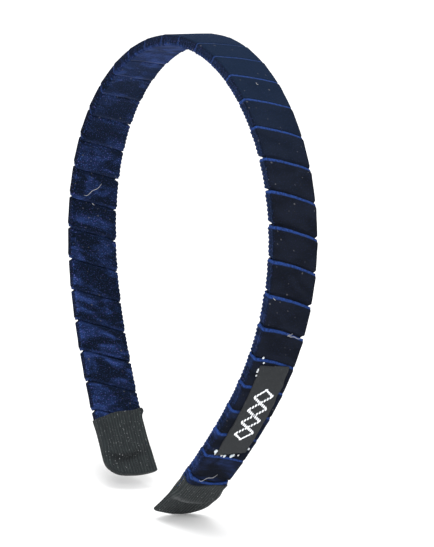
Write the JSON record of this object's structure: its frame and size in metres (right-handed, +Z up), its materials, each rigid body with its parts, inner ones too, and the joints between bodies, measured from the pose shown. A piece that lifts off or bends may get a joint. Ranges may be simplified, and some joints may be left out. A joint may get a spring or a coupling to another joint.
{
  "type": "hair band",
  "caption": "C-shaped hair band: a springy toothed plastic core spirally wound with lapped navy velvet ribbon, with grosgrain end wraps and a plain tab label.",
  "frame": {"origin": "middle of the foot of the object's box, on the surface that the two tips stand on", "axes": "+X from ear to ear towards the arm with the label, +Y across the band to its back edge, +Z up to the crown"},
  "size_m": [0.1196, 0.018, 0.146],
  "materials": {
    "core_plastic": "matt moulded plastic",
    "navy_velvet": "crushed cut-pile velvet ribbon with a woven edge",
    "grosgrain": "ribbed grosgrain",
    "hot_glue": "translucent set glue",
    "label_cloth": "fine woven label"
  },
  "bodies": {
    "root": {"core_band": "core_plastic", "velvet_ribbon": "navy_velvet", "left_end_wrap": "grosgrain", "right_end_wrap": "grosgrain", "left_wrap_glue": "hot_glue", "right_wrap_glue": "hot_glue", "label_glue": "hot_glue", "label": "label_cloth"}
  },
  "joints": []
}
